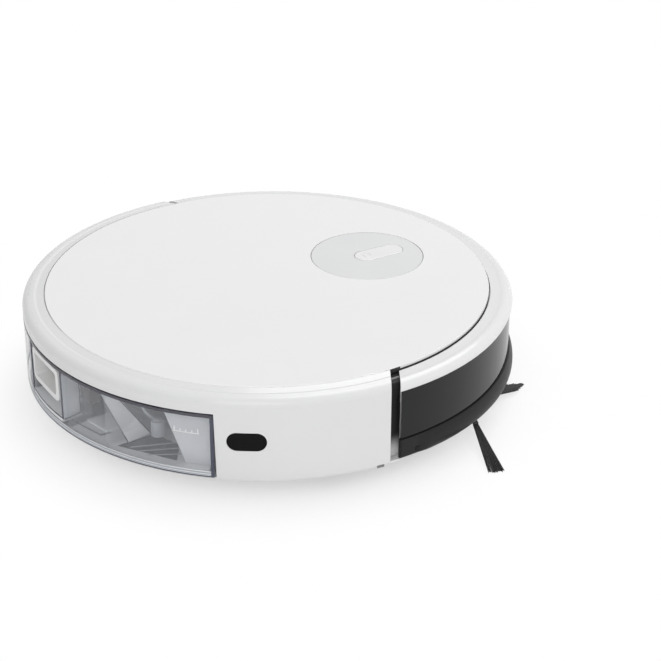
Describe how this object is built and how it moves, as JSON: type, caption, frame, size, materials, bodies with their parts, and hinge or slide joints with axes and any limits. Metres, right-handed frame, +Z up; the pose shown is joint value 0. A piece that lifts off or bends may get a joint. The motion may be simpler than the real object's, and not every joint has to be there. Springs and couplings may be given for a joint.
{
  "type": "robot vacuum cleaner",
  "caption": "Round robot vacuum with a sprung front bumper, sliding clear dust bin, sprung drive wheels, swivel caster, roller brush and spinning side brushes.",
  "frame": {"origin": "centre of the round body on the floor", "axes": "+Z up, +Y forwards to the bumper, +X to the right-hand side"},
  "size_m": [0.3718, 0.3331, 0.0763],
  "materials": {
    "white_gloss": "gloss white moulded casing",
    "pale_grey": "satin pale grey disc",
    "base_white": "satin white moulded base",
    "black_gloss": "smoked window that passes infrared",
    "black_rubber": "soft black rubber",
    "grey_rubber": "soft grey rubber",
    "black_plastic": "fine grained black plastic",
    "dark_plastic": "fine grained dark grey plastic",
    "clear_plastic": "clear plastic with a smoky blue tint",
    "latch_grey": "satin warm grey",
    "filter_paper": "pleated filter paper",
    "brush_bristle": "nylon bristles",
    "brush_arm": "flexible dark plastic",
    "hub_grey": "satin grey hub",
    "tyre_rubber": "soft ribbed tyre",
    "steel": "plated steel",
    "contact_metal": "nickel plated contacts",
    "circuit_board": "green solder mask",
    "battery_wrap": "shrink wrapped cells, with the density of cells"
  },
  "bodies": {
    "chassis": {"top_lid": "white_gloss", "control_disc": "pale_grey", "upper_shell": "white_gloss", "lower_chassis": "base_white", "housing_screws": "steel", "side_eye_window": "black_gloss", "gap_strips": "black_rubber", "bumper_springs": "steel", "bump_switches": "black_plastic", "obstacle_sensors": "circuit_board", "fan_housing": "black_plastic", "fan_motor": "steel", "brush_housing": "dark_plastic", "brush_bearing": "grey_rubber", "brush_motor": "steel", "brush_guard": "dark_plastic", "suspension_pins": "steel", "suspension_springs": "steel", "caster_cup": "dark_plastic", "side_brush_motor_left": "dark_plastic", "side_brush_motor_right": "dark_plastic", "battery_pack": "battery_wrap", "battery_cover": "base_white", "main_board": "circuit_board", "control_board": "circuit_board", "charging_contacts": "contact_metal", "cliff_windows": "black_gloss", "speaker": "black_plastic"},
    "bumper": {"bumper_band": "white_gloss", "bumper_window": "black_gloss", "bumper_lip": "black_rubber"},
    "power_key": {"power_button": "white_gloss"},
    "bin": {"bin_shell": "clear_plastic", "bin_lid": "clear_plastic", "filler_plug": "grey_rubber", "latch_frame": "white_gloss", "bin_ramp": "clear_plastic", "filter_frame": "dark_plastic", "filter_pleats": "filter_paper"},
    "bin_latch": {"latch_button": "latch_grey"},
    "bin_flap": {"inlet_flap": "clear_plastic"},
    "fan": {"fan_impeller": "black_plastic"},
    "brush_roller": {"main_brush": "brush_bristle"},
    "left_arm": {"drive_arm_left": "dark_plastic", "drive_motor_left": "steel"},
    "right_arm": {"drive_arm_right": "dark_plastic", "drive_motor_right": "steel"},
    "left_wheel": {"wheel_hub_left": "hub_grey", "tyre_left": "tyre_rubber"},
    "right_wheel": {"wheel_hub_right": "hub_grey", "tyre_right": "tyre_rubber"},
    "caster": {"caster_fork": "white_gloss", "caster_axle": "steel"},
    "caster_roller": {"caster_wheel": "black_plastic"},
    "left_side_brush": {"side_brush_hub_left": "brush_arm", "side_brush_tufts_left": "brush_bristle"},
    "right_side_brush": {"side_brush_hub_right": "brush_arm", "side_brush_tufts_right": "brush_bristle"}
  },
  "joints": [
    {"name": "bumper_slide", "type": "slide", "parent": "chassis", "child": "bumper", "axis": [0, -1, 0], "range_m": [0, 0.004], "stiffness_N_per_m": 400, "springref_m": -0.003, "deforming": ["bumper_springs"]},
    {"name": "power_button_press", "type": "slide", "parent": "chassis", "child": "power_key", "axis": [0, 0, -1], "range_m": [0, 0.001], "stiffness_N_per_m": 900, "springref_m": -0.001},
    {"name": "bin_slide", "type": "slide", "parent": "chassis", "child": "bin", "axis": [0, -1, 0], "range_m": [0, 0.115]},
    {"name": "bin_latch_press", "type": "slide", "parent": "bin", "child": "bin_latch", "axis": [0, 1, 0], "range_m": [0, 0.0025], "stiffness_N_per_m": 700, "springref_m": -0.001},
    {"name": "inlet_flap_swing", "type": "hinge", "parent": "bin", "child": "bin_flap", "pos_m": [0, -0.0759, 0.046], "axis": [-1, 0, 0], "range_deg": [0, 50]},
    {"name": "fan_spin", "type": "hinge", "parent": "chassis", "child": "fan", "pos_m": [0.034, 0, 0.042], "axis": [0, 1, 0], "continuous": true},
    {"name": "main_brush_spin", "type": "hinge", "parent": "chassis", "child": "brush_roller", "pos_m": [0, -0.043, 0.022], "axis": [1, 0, 0], "continuous": true},
    {"name": "left_suspension", "type": "hinge", "parent": "chassis", "child": "left_arm", "pos_m": [-0.105, 0.042, 0.042], "axis": [-1, 0, 0], "range_deg": [-26, 0], "stiffness_Nm_per_rad": 0.12, "springref_deg": -74.48},
    {"name": "right_suspension", "type": "hinge", "parent": "chassis", "child": "right_arm", "pos_m": [0.105, 0.042, 0.042], "axis": [-1, 0, 0], "range_deg": [-26, 0], "stiffness_Nm_per_rad": 0.12, "springref_deg": -74.48},
    {"name": "left_wheel_spin", "type": "hinge", "parent": "left_arm", "child": "left_wheel", "pos_m": [-0.131, -0.004, 0.033], "axis": [1, 0, 0], "continuous": true},
    {"name": "right_wheel_spin", "type": "hinge", "parent": "right_arm", "child": "right_wheel", "pos_m": [0.131, -0.004, 0.033], "axis": [1, 0, 0], "continuous": true},
    {"name": "caster_swivel", "type": "hinge", "parent": "chassis", "child": "caster", "pos_m": [0, 0.121, 0.038], "axis": [0, 0, 1], "continuous": true},
    {"name": "caster_roll", "type": "hinge", "parent": "caster", "child": "caster_roller", "pos_m": [0, 0.118, 0.016], "axis": [1, 0, 0], "continuous": true},
    {"name": "left_side_brush_spin", "type": "hinge", "parent": "chassis", "child": "left_side_brush", "pos_m": [-0.1168, 0.0813, 0.012], "axis": [0, 0, -1], "continuous": true},
    {"name": "right_side_brush_spin", "type": "hinge", "parent": "chassis", "child": "right_side_brush", "pos_m": [0.1168, 0.0813, 0.012], "axis": [0, 0, 1], "continuous": true}
  ]
}
